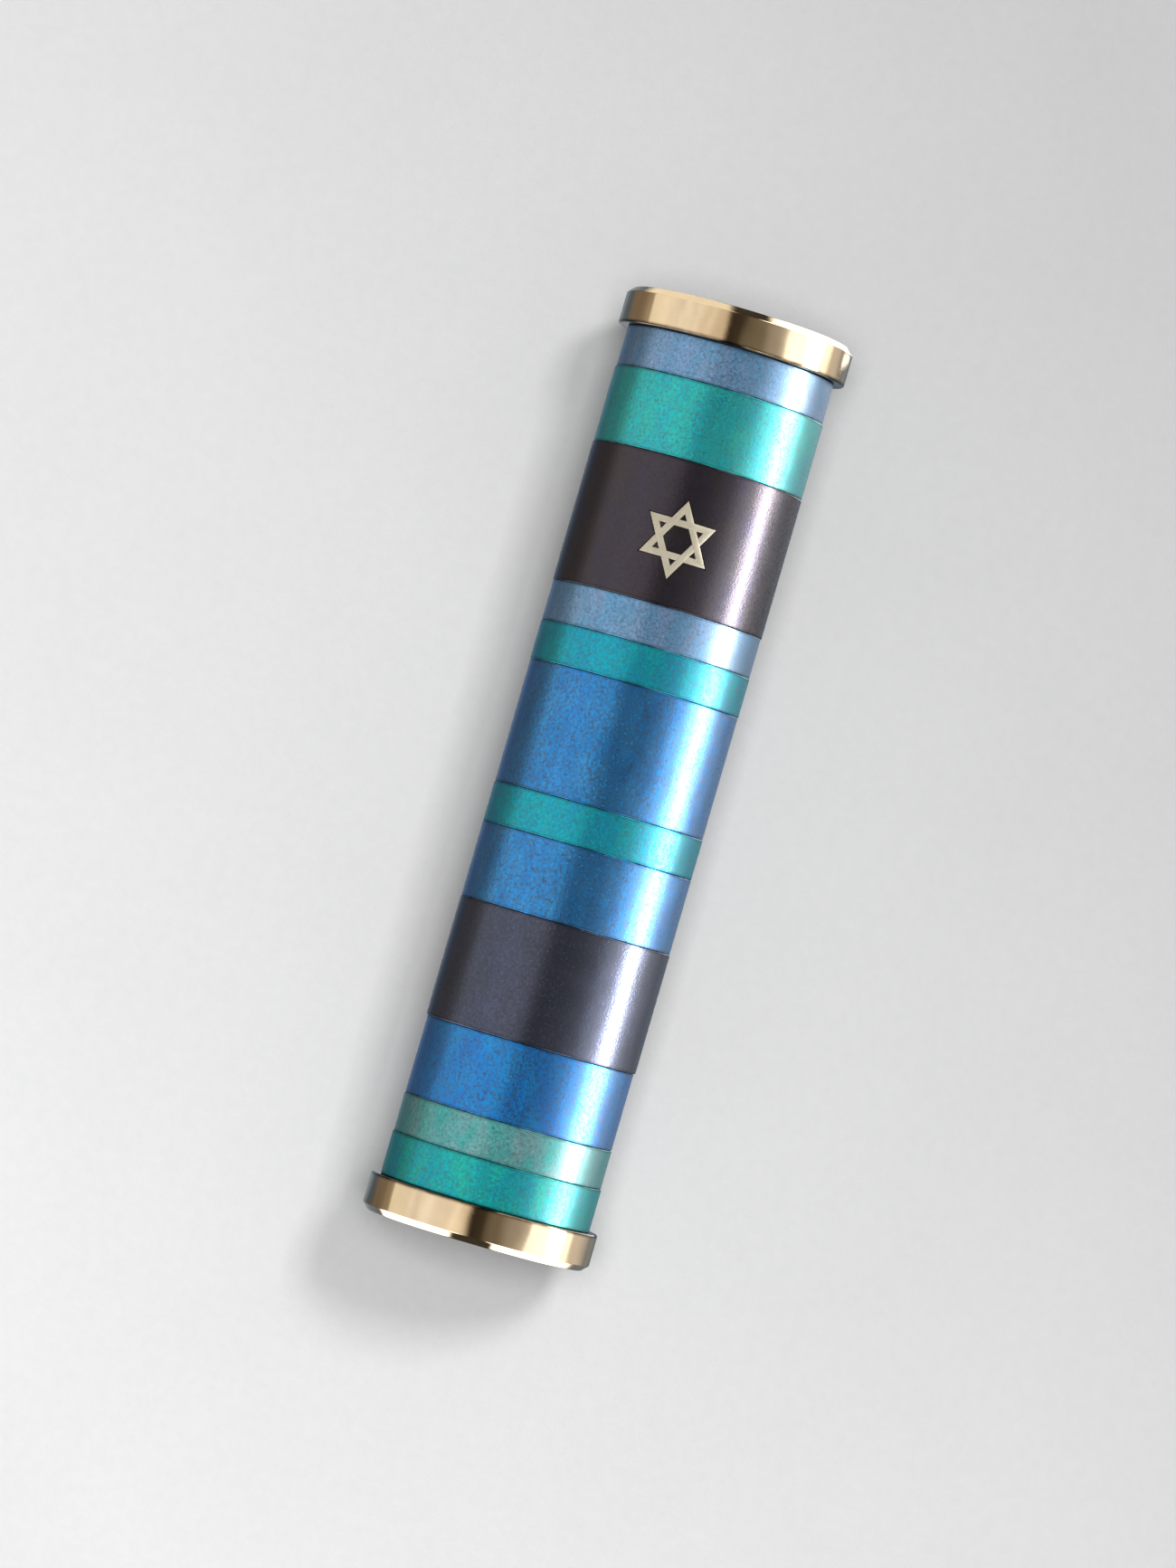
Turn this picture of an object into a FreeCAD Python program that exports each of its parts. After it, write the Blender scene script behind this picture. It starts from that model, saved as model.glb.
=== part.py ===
"""Mezuzah case: anodised rings threaded on a core tube between two gold end caps.

Millimetres. +Z runs up the case as it hangs on a door post, the front faces -Y, and the plane
y = 0 is the door post's surface, which the adhesive strip on the back touches. The origin is
the middle of that strip's outer face.
"""

import FreeCAD, Part
import math
import os

import Sketcher
from FreeCAD import Placement, Rotation, Vector

# Rings from the top of the case down: name, height, outer radius.
RINGS = [
    ("ring_01_sky_blue", 5.3, 13.40),
    ("ring_02_teal", 9.8, 13.55),
    ("ring_03_charcoal", 18.1, 13.60),
    ("ring_04_sky_blue", 5.2, 13.50),
    ("ring_05_turquoise", 5.1, 13.55),
    ("ring_06_cobalt", 15.9, 13.50),
    ("ring_07_turquoise", 5.2, 13.55),
    ("ring_08_cobalt", 9.7, 13.55),
    ("ring_09_slate", 15.5, 13.60),
    ("ring_10_royal_blue", 10.0, 13.40),
    ("ring_11_pale_aqua", 5.0, 13.45),
    ("ring_12_sea_green", 5.6, 13.55),
]
EMBLEM_RING = 3

SIZES = {
    # Back of the case
    "strip_thickness": 1.0,
    "strip_width": 11.0,
    "strip_length": 106.0,
    "strip_corner": 1.5,
    "flat_to_axis": 11.8,
    # Core tube and the rings' bores
    "tube_radius": 10.5,
    "tube_bore": 9.3,
    "ring_clearance": 0.04,
    "ring_bevel": 0.15,
    # End caps
    "cap_radius": 14.7,
    "cap_height": 4.8,
    "cap_outer_bevel": 0.8,
    "cap_inner_bevel": 0.2,
    "cap_end_wall": 1.6,
    "spigot_length": 7.0,
    "spigot_clearance": 0.08,
    "spigot_bevel": 0.4,
    "cap_hollow": 7.6,
    # How far a cut runs past the piece that it is made in
    "cut_overrun": 1.0,
    # O-rings and their grooves, measured from the flange
    "cord_radius": 0.45,
    "groove_centre": 4.0,
    "groove_slack": 0.03,
    # Emblem: an outlined six-pointed star, let into its ring
    "star_radius": 5.0,
    "star_stroke": 0.85,
    "star_drop": 0.75,
    "star_proud": 0.22,
    "star_set_in": 0.35,
    "star_gap": 0.15,
    # Rolled parchment
    "sheet_width": 100.0,
    "sheet_length": 100.0,
    "sheet_thickness": 0.25,
    "roll_inner_radius": 5.0,
    "roll_pitch": 0.6,
    "roll_floor_gap": 0.1,
}
ZERO = "0"
TOLERANCE = 0.01

for number, (ring_name, ring_height, ring_radius) in enumerate(RINGS, 1):
    SIZES[f"ring_height_{number:02d}"] = ring_height
    SIZES[f"ring_radius_{number:02d}"] = ring_radius

doc = FreeCAD.newDocument("mezuzah_case")
sheet = doc.addObject("Spreadsheet::Sheet", "Sizes")
for row, (alias, size) in enumerate(SIZES.items(), 1):
    sheet.set(f"A{row}", alias)
    sheet.set(f"B{row}", str(size))
    sheet.setAlias(f"B{row}", alias)
doc.recompute()

AXIS_Y = "-(Sizes.strip_thickness + Sizes.flat_to_axis)"
STACK = "(" + " + ".join(f"Sizes.ring_height_{n:02d}" for n in range(1, len(RINGS) + 1)) + ")"
HALF_STACK = f"{STACK} / 2"


def number_of(expression):
    """The value of a sheet expression, in millimetres."""
    return float(sheet.evalExpression(expression))


def place(piece, z, rotation=None):
    """Puts a piece's own Z axis on the case's axis, at the height that the expression z gives."""
    if rotation is not None:
        piece.Placement = Placement(Vector(), rotation)
    piece.setExpression("Placement.Base.y", AXIS_Y)
    piece.setExpression("Placement.Base.z", z)
    return piece


def new_body(label):
    body = doc.addObject("PartDesign::Body", label)
    body.Label = label
    return body


def polygon_sketch(body, name, plane_role, corners):
    """A closed outline on one of the body's origin planes, its corners bound to the sheet."""
    sketch = body.newObject("Sketcher::SketchObject", name)
    plane = next(f for f in body.Origin.OriginFeatures if f.Role == plane_role)
    sketch.AttachmentSupport = [(plane, "")]
    sketch.MapMode = "FlatFace"
    points = [Vector(number_of(across), number_of(up), 0) for across, up in corners]
    count = len(points)
    for i in range(count):
        sketch.addGeometry(Part.LineSegment(points[i], points[(i + 1) % count]), False)
    for i in range(count):
        sketch.addConstraint(Sketcher.Constraint("Coincident", i, 2, (i + 1) % count, 1))
    for i, (across, up) in enumerate(corners):
        for kind, expression in (("DistanceX", across), ("DistanceY", up)):
            start = number_of(expression)
            index = sketch.addConstraint(Sketcher.Constraint(kind, -1, 1, i, 1, start))
            sketch.setExpression(f"Constraints[{index}]", expression)
    return sketch


def turned(body, corners):
    """Turns a half section, given as radius and height, a full circle about the body's Z axis."""
    profile = polygon_sketch(body, body.Label + "_section", "XZ_Plane", corners)
    turning = body.newObject("PartDesign::Revolution", body.Label + "_turning")
    turning.Profile = profile
    turning.ReferenceAxis = (profile, ["V_Axis"])
    turning.Angle = 360.0
    profile.Visibility = False
    doc.recompute()
    return turning


def mill_back(body, reach, low, high):
    """Mills the flat on the back, from the heights low to high, through a blank of radius reach."""
    before = body.Shape.Volume
    side = f"{reach} + Sizes.cut_overrun"
    corners = [
        (f"-({side})", "Sizes.flat_to_axis"),
        (side, "Sizes.flat_to_axis"),
        (side, side),
        (f"-({side})", side),
    ]
    outline = polygon_sketch(body, body.Label + "_flat_outline", "XY_Plane", corners)
    outline.setExpression("AttachmentOffset.Base.z", low)
    pocket = body.newObject("PartDesign::Pocket", body.Label + "_flat")
    pocket.Profile = outline
    pocket.setExpression("Length", f"{high} - ({low})")
    pocket.Reversed = True
    outline.Visibility = False
    doc.recompute()
    if body.Shape.Volume > before - TOLERANCE:
        raise RuntimeError(f"{body.Label}: the flat removed nothing")
    return pocket


def build_ring(number, name):
    """A ring: outer and inner edges bevelled a little, with the flat on its back."""
    height = f"Sizes.ring_height_{number:02d}"
    outer = f"Sizes.ring_radius_{number:02d}"
    bore = "(Sizes.tube_radius + Sizes.ring_clearance)"
    bevel = "Sizes.ring_bevel"
    body = new_body(name)
    turned(body, [
        (bore, ZERO),
        (f"{outer} - {bevel}", ZERO),
        (outer, bevel),
        (outer, f"{height} - {bevel}"),
        (f"{outer} - {bevel}", height),
        (bore, height),
    ])
    mill_back(body, outer, ZERO, height)
    below = [f"Sizes.ring_height_{n:02d}" for n in range(number + 1, len(RINGS) + 1)]
    place(body, " + ".join([f"-{HALF_STACK}"] + below))
    return body


def build_cap(label, at_top):
    """A cup-shaped end cap: bevelled flange, grooved spigot, hollow from the spigot's end."""
    spigot = "(Sizes.tube_bore - Sizes.spigot_clearance)"
    groove_floor = f"({spigot} - 2 * Sizes.cord_radius - Sizes.groove_slack)"
    half_groove = "(Sizes.cord_radius + Sizes.groove_slack)"
    corners = [
        (ZERO, "Sizes.cap_height - Sizes.cap_end_wall"),
        (ZERO, "Sizes.cap_height"),
        ("Sizes.cap_radius - Sizes.cap_outer_bevel", "Sizes.cap_height"),
        ("Sizes.cap_radius", "Sizes.cap_height - Sizes.cap_outer_bevel"),
        ("Sizes.cap_radius", "Sizes.cap_inner_bevel"),
        ("Sizes.cap_radius - Sizes.cap_inner_bevel", ZERO),
        (spigot, ZERO),
        (spigot, f"-(Sizes.groove_centre - {half_groove})"),
        (groove_floor, f"-(Sizes.groove_centre - {half_groove})"),
        (groove_floor, f"-(Sizes.groove_centre + {half_groove})"),
        (spigot, f"-(Sizes.groove_centre + {half_groove})"),
        (spigot, "-(Sizes.spigot_length - Sizes.spigot_bevel)"),
        (f"{spigot} - Sizes.spigot_bevel", "-Sizes.spigot_length"),
        ("Sizes.cap_hollow", "-Sizes.spigot_length"),
        ("Sizes.cap_hollow", "Sizes.cap_height - Sizes.cap_end_wall"),
    ]
    body = new_body(label)
    turned(body, corners)
    mill_back(body, "Sizes.cap_radius", ZERO, "Sizes.cap_height")
    if at_top:
        place(body, HALF_STACK)
    else:
        # Half a turn about Y keeps the flat at the back and points the spigot up.
        place(body, f"-{HALF_STACK}", Rotation(Vector(0, 1, 0), 180))
    return body


def build_o_ring(label, side):
    """An O-ring in a cap's groove; side is 1 for the top cap and -1 for the bottom one."""
    ring = doc.addObject("Part::Torus", label)
    ring.Label = label
    ring.setExpression("Radius1", "Sizes.tube_bore - Sizes.spigot_clearance - Sizes.cord_radius")
    ring.setExpression("Radius2", "Sizes.cord_radius")
    return place(ring, f"{side} * ({HALF_STACK} - Sizes.groove_centre)")


def build_tube():
    """The core tube, as long as the stack of rings."""
    body = new_body("core_tube")
    profile = body.newObject("Sketcher::SketchObject", "core_tube_section")
    plane = next(f for f in body.Origin.OriginFeatures if f.Role == "XY_Plane")
    profile.AttachmentSupport = [(plane, "")]
    profile.MapMode = "FlatFace"
    for geometry, alias in enumerate(("tube_radius", "tube_bore")):
        circle = Part.Circle(Vector(), Vector(0, 0, 1), SIZES[alias])
        profile.addGeometry(circle, False)
        profile.addConstraint(Sketcher.Constraint("Coincident", geometry, 3, -1, 1))
        radius = profile.addConstraint(Sketcher.Constraint("Radius", geometry, SIZES[alias]))
        profile.setExpression(f"Constraints[{radius}]", f"Sizes.{alias}")
    pad = body.newObject("PartDesign::Pad", "core_tube_length")
    pad.Profile = profile
    pad.setExpression("Length", STACK)
    profile.Visibility = False
    return place(body, f"-{HALF_STACK}")


def build_strip():
    """The adhesive foam strip on the flat of the back, with rounded corners."""
    body = new_body("adhesive_strip")
    corners = [
        ("-Sizes.strip_width / 2", "-Sizes.strip_length / 2"),
        ("Sizes.strip_width / 2", "-Sizes.strip_length / 2"),
        ("Sizes.strip_width / 2", "Sizes.strip_length / 2"),
        ("-Sizes.strip_width / 2", "Sizes.strip_length / 2"),
    ]
    outline = polygon_sketch(body, "adhesive_strip_outline", "XZ_Plane", corners)
    pad = body.newObject("PartDesign::Pad", "adhesive_strip_foam")
    pad.Profile = outline
    pad.setExpression("Length", "Sizes.strip_thickness")
    outline.Visibility = False
    doc.recompute()
    through = [
        f"Edge{i}" for i, edge in enumerate(pad.Shape.Edges, 1)
        if abs(edge.tangentAt(edge.FirstParameter).y) > 1 - TOLERANCE
    ]
    rounding = body.newObject("PartDesign::Fillet", "adhesive_strip_corners")
    rounding.Base = (pad, through)
    rounding.setExpression("Radius", "Sizes.strip_corner")
    doc.recompute()
    if body.Shape.BoundBox.YMax > TOLERANCE:
        raise RuntimeError("adhesive_strip stands behind the door post's surface")
    return body


def star_prism(name, grow, depth_from, depth_to):
    """An outlined star, its stroke wider by grow on each side, cut out of a shell between radii."""
    above = " + ".join(f"Sizes.ring_height_{n:02d}" for n in range(1, EMBLEM_RING))
    own_half = f"Sizes.ring_height_{EMBLEM_RING:02d} / 2"
    centre_z = f"{HALF_STACK} - ({above}) - {own_half} - Sizes.star_drop"
    frames = []
    for turn, way in ((90, "up"), (-90, "down")):
        triangles = []
        for part, radius in (
            ("outside", f"Sizes.star_radius + 2 * {grow}"),
            ("inside", f"Sizes.star_radius - 2 * Sizes.star_stroke - 2 * {grow}"),
        ):
            triangle = doc.addObject("Part::Prism", f"{name}_{way}_{part}")
            triangle.Polygon = 3
            triangle.setExpression("Circumradius", radius)
            triangle.setExpression("Height", "2 * Sizes.flat_to_axis")
            facing = Rotation(Vector(1, 0, 0), 90) * Rotation(Vector(0, 0, 1), turn)
            triangles.append(place(triangle, centre_z, facing))
        frame = doc.addObject("Part::Cut", f"{name}_{way}")
        frame.Base, frame.Tool = triangles
        frames.append(frame)
    star = doc.addObject("Part::Fuse", f"{name}_outline")
    star.Base, star.Tool = frames
    cylinders = []
    for part, radius in (("shell_outside", depth_to), ("shell_inside", depth_from)):
        cylinder = doc.addObject("Part::Cylinder", f"{name}_{part}")
        cylinder.setExpression("Radius", radius)
        cylinder.setExpression("Height", STACK)
        cylinders.append(place(cylinder, f"-{HALF_STACK}"))
    shell = doc.addObject("Part::Cut", f"{name}_shell")
    shell.Base, shell.Tool = cylinders
    plate = doc.addObject("Part::Common", name)
    plate.Base, plate.Tool = star, shell
    return plate


def build_emblem():
    """The star: a curved plate that stands a little proud of its ring."""
    radius = f"Sizes.ring_radius_{EMBLEM_RING:02d}"
    emblem = star_prism(
        "emblem_star", ZERO,
        f"{radius} - Sizes.star_set_in", f"{radius} + Sizes.star_proud",
    )
    emblem.Label = "emblem_star"
    return emblem


def let_in_emblem(ring, label):
    """Cuts the star's pocket, wider than the star by the gap, into its ring."""
    radius = f"Sizes.ring_radius_{EMBLEM_RING:02d}"
    cutter = star_prism(
        "emblem_pocket", "Sizes.star_gap",
        f"{radius} - Sizes.star_set_in", f"{radius} + Sizes.cut_overrun",
    )
    cut = doc.addObject("Part::Cut", label)
    cut.Base, cut.Tool = ring, cutter
    cut.Label = label
    return cut


def build_scroll():
    """The parchment: one sheet rolled in an even spiral, standing on the bottom cap's floor."""
    inner = number_of("Sizes.roll_inner_radius")
    pitch = number_of("Sizes.roll_pitch")
    thickness = number_of("Sizes.sheet_thickness")
    # Arc length of the sheet's middle: linear * turn + quadratic * turn squared.
    linear = inner + thickness / 2
    quadratic = pitch / (4 * math.pi)
    length = number_of("Sizes.sheet_length")
    turn = (math.sqrt(linear**2 + 4 * quadratic * length) - linear) / (2 * quadratic)
    points_per_turn = 24
    steps = points_per_turn * math.ceil(turn / (2 * math.pi))

    def spiral(offset):
        points = []
        for i in range(steps + 1):
            angle = turn * i / steps
            radius = inner + offset + pitch * angle / (2 * math.pi)
            points.append(Vector(radius * math.cos(angle), radius * math.sin(angle), 0))
        curve = Part.BSplineCurve()
        curve.interpolate(points)
        return curve.toShape()

    inside = spiral(0)
    outside = spiral(thickness)
    ends = [
        Part.makeLine(inside.valueAt(edge_end), outside.valueAt(other_end))
        for edge_end, other_end in (
            (inside.FirstParameter, outside.FirstParameter),
            (inside.LastParameter, outside.LastParameter),
        )
    ]
    outline = Part.Wire(Part.__sortEdges__([inside, ends[1], outside, ends[0]]))
    scroll = doc.addObject("Part::Feature", "parchment_scroll")
    scroll.Label = "parchment_scroll"
    scroll.Shape = Part.Face(outline).extrude(Vector(0, 0, number_of("Sizes.sheet_width")))
    floor = f"-{HALF_STACK} - Sizes.cap_height + Sizes.cap_end_wall + Sizes.roll_floor_gap"
    height = number_of(floor)
    scroll.Placement = Placement(Vector(0, number_of(AXIS_Y), height), Rotation())
    return scroll


pieces = [build_cap("top_cap", True), build_cap("bottom_cap", False), build_tube()]
pieces += [build_o_ring("top_o_ring", 1), build_o_ring("bottom_o_ring", -1)]
for number, (ring_name, ring_height, ring_radius) in enumerate(RINGS, 1):
    if number == EMBLEM_RING:
        pieces.append(let_in_emblem(build_ring(number, ring_name + "_blank"), ring_name))
    else:
        pieces.append(build_ring(number, ring_name))
pieces += [build_emblem(), build_strip(), build_scroll()]
doc.recompute()

for item in doc.Objects:
    if "Invalid" in item.State or "Error" in item.State:
        raise RuntimeError(f"{item.Label} did not recompute: {item.State}")
for piece in pieces:
    if piece.Shape.isNull() or not piece.Shape.isValid():
        raise RuntimeError(f"{piece.Label} has no valid shape")
    print(f"{piece.Label}: {len(piece.Shape.Solids)} solid(s), {piece.Shape.Volume:.1f} mm3")

os.makedirs("parts", exist_ok=True)
for piece in pieces:
    piece.Shape.exportStep(f"parts/{piece.Label}.step")
print(f"{len(pieces)} sub-parts written")
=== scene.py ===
"""Mezuzah case, finished: satin anodised rings between polished gold caps, seen lying on pale paper."""

import math

import bmesh
import bpy
from mathutils import Matrix, Vector


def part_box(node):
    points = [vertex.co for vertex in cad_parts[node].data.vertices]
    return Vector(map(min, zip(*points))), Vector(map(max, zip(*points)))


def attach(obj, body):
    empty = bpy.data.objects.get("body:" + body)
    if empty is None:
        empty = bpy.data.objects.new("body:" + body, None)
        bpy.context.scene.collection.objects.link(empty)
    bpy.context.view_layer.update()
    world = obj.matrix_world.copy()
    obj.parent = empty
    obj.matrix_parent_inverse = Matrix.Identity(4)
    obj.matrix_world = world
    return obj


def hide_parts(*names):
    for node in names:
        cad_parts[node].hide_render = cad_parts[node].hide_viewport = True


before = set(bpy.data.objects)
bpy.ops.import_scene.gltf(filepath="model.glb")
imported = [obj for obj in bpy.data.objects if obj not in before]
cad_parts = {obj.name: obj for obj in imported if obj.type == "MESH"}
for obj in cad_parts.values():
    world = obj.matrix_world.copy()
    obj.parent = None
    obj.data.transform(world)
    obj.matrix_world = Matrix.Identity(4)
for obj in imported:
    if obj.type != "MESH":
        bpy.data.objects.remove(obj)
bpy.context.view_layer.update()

MM = 0.001
ROUND_STEPS = 6  # faces across a rounded corner
ARC_STEPS = 288  # faces round the front of a turned piece
FLAT_STEPS = 24  # faces across the milled flat
ROUND_SHARE = 0.5  # half the angle of those faces, in radians, on a piece without a flat
SLAB_STEPS = 8  # faces round a corner of the adhesive strip

# Places and sizes read from the frame, in millimetres
TUBE_LOW, TUBE_HIGH = (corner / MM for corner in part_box("core_tube"))
AXIS_Y = (TUBE_LOW.y + TUBE_HIGH.y) / 2
TUBE_RADIUS = TUBE_HIGH.x
HALF_STACK = TUBE_HIGH.z
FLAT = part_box("ring_01_sky_blue")[1].y / MM - AXIS_Y
CAP_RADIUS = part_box("top_cap")[1].x / MM
CAP_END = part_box("top_cap")[1].z / MM
SPIGOT_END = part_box("top_cap")[0].z / MM
O_RING_LOW, O_RING_HIGH = (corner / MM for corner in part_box("top_o_ring"))
SHEET_LOW, SHEET_HIGH = (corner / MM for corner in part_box("parchment_scroll"))
STRIP_LOW, STRIP_HIGH = (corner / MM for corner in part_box("adhesive_strip"))

RINGS = {
    "ring_01_sky_blue": "anodised_sky_blue",
    "ring_02_teal": "anodised_teal",
    "ring_03_charcoal": "anodised_charcoal",
    "ring_04_sky_blue": "anodised_sky_blue",
    "ring_05_turquoise": "anodised_turquoise",
    "ring_06_cobalt": "anodised_cobalt",
    "ring_07_turquoise": "anodised_turquoise",
    "ring_08_cobalt": "anodised_cobalt",
    "ring_09_slate": "anodised_slate",
    "ring_10_royal_blue": "anodised_royal_blue",
    "ring_11_pale_aqua": "anodised_pale_aqua",
    "ring_12_sea_green": "anodised_sea_green",
}
EMBLEM_RING = "ring_03_charcoal"


# --- Camera, paper and light ---------------------------------------------------------------

def add_camera():
    """Looks down on the case from a little below its middle; the case leans clockwise."""
    lean = math.radians(16.2)
    distance, below = 0.849, 0.018
    aside, under = 0.0025, 0.0007
    right = Vector((math.cos(lean), 0, math.sin(lean)))
    up = Vector((-math.sin(lean), 0, math.cos(lean)))
    middle = Vector((0, AXIS_Y, 0)) * MM
    aim = middle - right * aside - up * under
    place = aim + Vector((0, -distance, -below))
    back = (place - aim).normalized()
    right = up.cross(back).normalized()
    up = back.cross(right)
    data = bpy.data.cameras.new("camera")
    data.sensor_width = 36
    data.lens = 155.8
    camera = bpy.data.objects.new("camera", data)
    camera.matrix_world = Matrix(
        [(right[i], up[i], back[i], place[i]) for i in range(3)] + [(0, 0, 0, 1)]
    )
    bpy.context.scene.collection.objects.link(camera)
    bpy.context.scene.camera = camera


def add_area_light(name, direction, distance, size, radiance, colour, seen_in_gloss, lights_matt):
    """A soft light that faces the case; its power follows from its size and its brightness."""
    data = bpy.data.lights.new(name, "AREA")
    data.shape = "RECTANGLE"
    data.size, data.size_y = size
    data.energy = radiance * math.pi * size[0] * size[1]
    data.color = colour
    light = bpy.data.objects.new(name, data)
    towards = Vector(direction).normalized()
    light.location = Vector((0, AXIS_Y * MM, 0)) + towards * distance
    light.rotation_mode = "QUATERNION"
    light.rotation_quaternion = towards.to_track_quat("Z", "Y")
    light.visible_camera = False
    light.visible_glossy = seen_in_gloss
    light.visible_diffuse = lights_matt
    bpy.context.scene.collection.objects.link(light)


def round_the_case(angle):
    """The direction at an angle to the right of the camera, round the case's axis."""
    turn = math.radians(angle)
    return math.sin(turn), -math.cos(turn), 0.0


def add_lights():
    white = (1, 1, 1)
    add_area_light("softbox", round_the_case(85), 0.70, (0.17, 0.9), 31.0, white, True, False)
    add_area_light("key", (0.36, -1, 0.55), 2.4, (0.5, 0.5), 28.0, white, False, True)
    add_area_light("front_fill", (0, -1, 0), 2.4, (1.0, 1.0), 11.3, white, False, True)
    add_area_light("back_fill", (0.5, 1, 0.6), 0.9, (0.6, 0.6), 2.2, white, True, True)


def add_world():
    """A pale room: a cream wall on the left, a dark gap round the camera, white on the right.

    Only gloss shows the room. Matt surfaces and the camera meet an even grey instead.
    """
    grey_on_matt, grey_behind = (0.15, 0.15, 0.15), (0.78, 0.78, 0.78)
    world = bpy.data.worlds.new("studio")
    world.use_nodes = True
    bpy.context.scene.world = world
    tree = world.node_tree
    tree.nodes.clear()
    coordinate = tree.nodes.new("ShaderNodeTexCoord")
    parts = split(tree, coordinate.outputs["Generated"])
    forward = math_node(tree, "MULTIPLY", parts["Y"], -1.0)
    angle = math_node(tree, "ARCTAN2", parts["X"], forward)
    share = map_range(tree, angle, -math.pi, math.pi)
    walls = [  # degrees to the right of the camera, and the wall's colour there
        (-180, (0.42, 0.47, 0.52)), (-150, (0.09, 0.14, 0.21)), (-125, (0.20, 0.165, 0.13)),
        (-98, (0.44, 0.38, 0.31)), (-96, (0.90, 0.86, 0.76)), (-55, (1.20, 1.20, 1.22)),
        (-30, (1.08, 1.04, 0.98)), (-14, (0.95, 0.89, 0.80)), (-9, (0.05, 0.04, 0.03)),
        (3, (0.06, 0.05, 0.04)), (8, (0.17, 0.15, 0.12)), (24, (0.20, 0.18, 0.15)),
        (40, (0.52, 0.50, 0.48)), (49, (0.75, 0.75, 0.75)), (52, (2.0, 2.0, 2.0)),
        (106, (2.1, 2.1, 2.1)), (110, (0.85, 0.82, 0.80)), (125, (0.60, 0.58, 0.58)),
        (140, (0.26, 0.29, 0.32)), (180, (0.18, 0.24, 0.28)),
    ]
    ramp = colour_ramp(tree, share,
                       [((degrees + 180) / 360, colour) for degrees, colour in walls])
    blotch = tree.nodes.new("ShaderNodeTexNoise")
    blotch.inputs["Scale"].default_value = 2.6
    blotch.inputs["Detail"].default_value = 2.0
    tree.links.new(coordinate.outputs["Generated"], blotch.inputs["Vector"])
    patch = colour_ramp(tree, blotch.outputs["Fac"],
                        [(0.36, (0.70, 0.67, 0.64)), (0.64, (1.0, 1.0, 1.0))])
    room = mix_colour(tree, "MULTIPLY", 1.0, ramp, patch)
    overhead = map_range(tree, math_node(tree, "ABSOLUTE", parts["Z"]), 0.50, 0.60)
    sideways = map_range(tree, parts["X"], -1.0, 1.0)
    cream, dark, white = (1.00, 0.96, 0.88), (0.05, 0.045, 0.04), (4.0, 4.0, 4.0)
    above = colour_ramp(tree, sideways, [
        (0.0, cream), (0.45, cream), (0.47, dark), (0.60, dark), (0.66, white), (1.0, white),
    ])
    below = colour_ramp(tree, sideways, [
        (0.0, white), (0.37, white), (0.40, dark), (0.57, dark), (0.60, white), (1.0, white),
    ])
    is_above = math_node(tree, "GREATER_THAN", parts["Z"])
    ceiling = mix_colour(tree, "MIX", is_above, below, above)
    seen_in_gloss = mix_colour(tree, "MIX", overhead, room, ceiling)
    path = tree.nodes.new("ShaderNodeLightPath")
    chosen = mix_colour(tree, "MIX", path.outputs["Is Glossy Ray"], grey_on_matt, seen_in_gloss)
    chosen = mix_colour(tree, "MIX", path.outputs["Is Camera Ray"], chosen, grey_behind)
    background = tree.nodes.new("ShaderNodeBackground")
    tree.links.new(chosen, background.inputs["Color"])
    output = tree.nodes.new("ShaderNodeOutputWorld")
    tree.links.new(background.outputs[0], output.inputs["Surface"])


# --- Node helpers ---------------------------------------------------------------------------

def feed(tree, socket, value):
    """Links a socket to value, or sets it when value is a plain number or colour."""
    if isinstance(value, bpy.types.NodeSocket):
        tree.links.new(value, socket)
    elif isinstance(value, (int, float)):
        socket.default_value = value
    else:
        socket.default_value = tuple(value) + (1.0,) * (len(socket.default_value) - len(value))


def math_node(tree, operation, first, second=0.0, clamp=False):
    node = tree.nodes.new("ShaderNodeMath")
    node.operation = operation
    node.use_clamp = clamp
    feed(tree, node.inputs[0], first)
    feed(tree, node.inputs[1], second)
    return node.outputs[0]


def mix_colour(tree, blend, factor, first, second):
    node = tree.nodes.new("ShaderNodeMix")
    node.data_type = "RGBA"
    node.blend_type = blend
    feed(tree, node.inputs["Factor"], factor)
    feed(tree, node.inputs[6], first)
    feed(tree, node.inputs[7], second)
    return node.outputs[2]


def colour_ramp(tree, factor, stops):
    node = tree.nodes.new("ShaderNodeValToRGB")
    feed(tree, node.inputs["Fac"], factor)
    elements = node.color_ramp.elements
    while len(elements) < len(stops):
        elements.new(1.0)
    for element, (place, colour) in zip(elements, stops):
        element.position = place
        element.color = tuple(colour) + (1.0,)
    return node.outputs["Color"]


def split(tree, vector):
    node = tree.nodes.new("ShaderNodeSeparateXYZ")
    tree.links.new(vector, node.inputs[0])
    return node.outputs


def as_grey(tree, value):
    node = tree.nodes.new("ShaderNodeCombineColor")
    for channel in range(3):
        tree.links.new(value, node.inputs[channel])
    return node.outputs[0]


def map_range(tree, value, from_low, from_high, to_low=0.0, to_high=1.0):
    """Takes a value from one range to another and holds it within its ends."""
    node = tree.nodes.new("ShaderNodeMapRange")
    limits = {"From Min": from_low, "From Max": from_high, "To Min": to_low, "To Max": to_high}
    for name, limit in limits.items():
        feed(tree, node.inputs[name], limit)
    feed(tree, node.inputs["Value"], value)
    return node.outputs["Result"]


def noise(tree, vector, size_mm, detail=2.0, roughness=0.5, dimensions="3D"):
    """Noise whose features are about size_mm across, which is a number or a socket."""
    node = tree.nodes.new("ShaderNodeTexNoise")
    node.noise_dimensions = dimensions
    if isinstance(size_mm, bpy.types.NodeSocket):
        scale = math_node(tree, "DIVIDE", 1 / MM, size_mm)
    else:
        scale = 1 / (size_mm * MM)
    feed(tree, node.inputs["Scale"], scale)
    node.inputs["Detail"].default_value = detail
    node.inputs["Roughness"].default_value = roughness
    feed(tree, node.inputs["Vector"], vector)
    return node.outputs["Fac"]


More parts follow.
